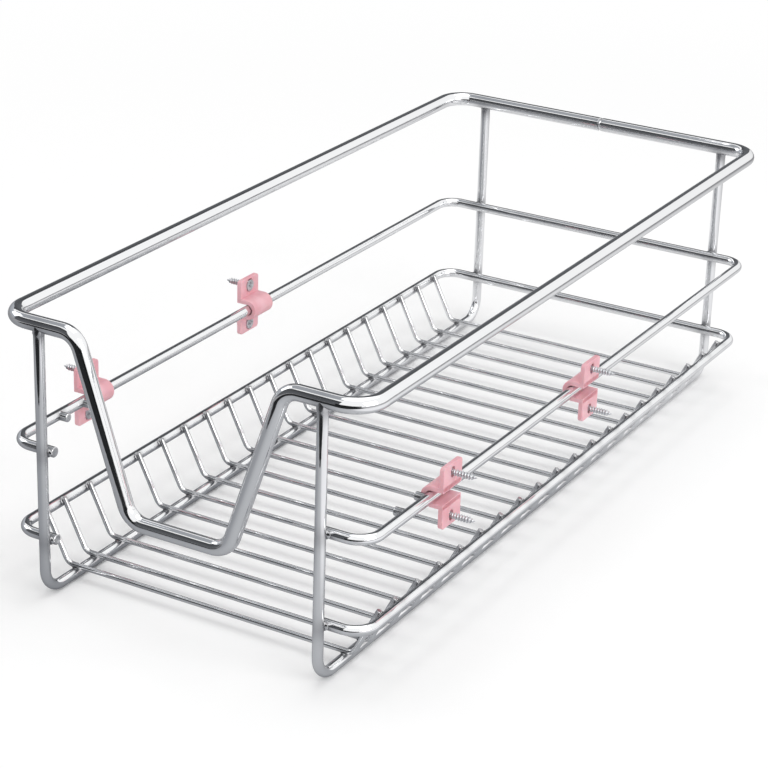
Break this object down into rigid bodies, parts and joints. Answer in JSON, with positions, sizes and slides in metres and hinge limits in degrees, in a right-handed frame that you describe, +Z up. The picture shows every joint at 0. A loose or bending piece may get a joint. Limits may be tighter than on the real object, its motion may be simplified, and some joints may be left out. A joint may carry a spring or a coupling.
{
  "type": "pull-out cabinet basket",
  "caption": "Narrow chromed wire basket with a dipped front rim as its handle, sliding out of a kitchen cabinet in plastic saddles screwed to the walls.",
  "frame": {"origin": "on the floor plane of the basket, under the middle of its length and width, with the basket pushed home", "axes": "+Z up, -Y towards the user at the handle, +X to the right seen from behind the handle looking into the cabinet"},
  "size_m": [0.24, 0.454, 0.1485],
  "materials": {
    "chrome_wire": "bright chrome plating",
    "pink_plastic": "moulded, slightly glossy",
    "steel": "bright zinc"
  },
  "bodies": {
    "wall_saddles": {"saddle_front_left": "pink_plastic", "saddle_rear_left": "pink_plastic", "saddle_front_right": "pink_plastic", "saddle_rear_right": "pink_plastic", "saddle_screws": "steel"},
    "basket": {"rim": "chrome_wire", "side_frame_left": "chrome_wire", "side_frame_right": "chrome_wire", "middle_rail": "chrome_wire", "lower_rail": "chrome_wire", "cross_wire_01": "chrome_wire", "cross_wire_02": "chrome_wire", "cross_wire_03": "chrome_wire", "cross_wire_04": "chrome_wire", "cross_wire_05": "chrome_wire", "cross_wire_06": "chrome_wire", "cross_wire_07": "chrome_wire", "cross_wire_08": "chrome_wire", "cross_wire_09": "chrome_wire", "cross_wire_10": "chrome_wire", "cross_wire_11": "chrome_wire", "cross_wire_12": "chrome_wire", "cross_wire_13": "chrome_wire", "cross_wire_14": "chrome_wire", "cross_wire_15": "chrome_wire", "cross_wire_16": "chrome_wire", "cross_wire_17": "chrome_wire", "cross_wire_18": "chrome_wire", "cross_wire_19": "chrome_wire", "cross_wire_20": "chrome_wire", "stop_stud_front_left": "chrome_wire", "stop_stud_rear_left": "chrome_wire", "stop_stud_front_right": "chrome_wire", "stop_stud_rear_right": "chrome_wire"}
  },
  "joints": [
    {"name": "basket_slide", "type": "slide", "parent": "wall_saddles", "child": "basket", "axis": [0, -1, 0], "range_m": [0, 0.2005]}
  ]
}
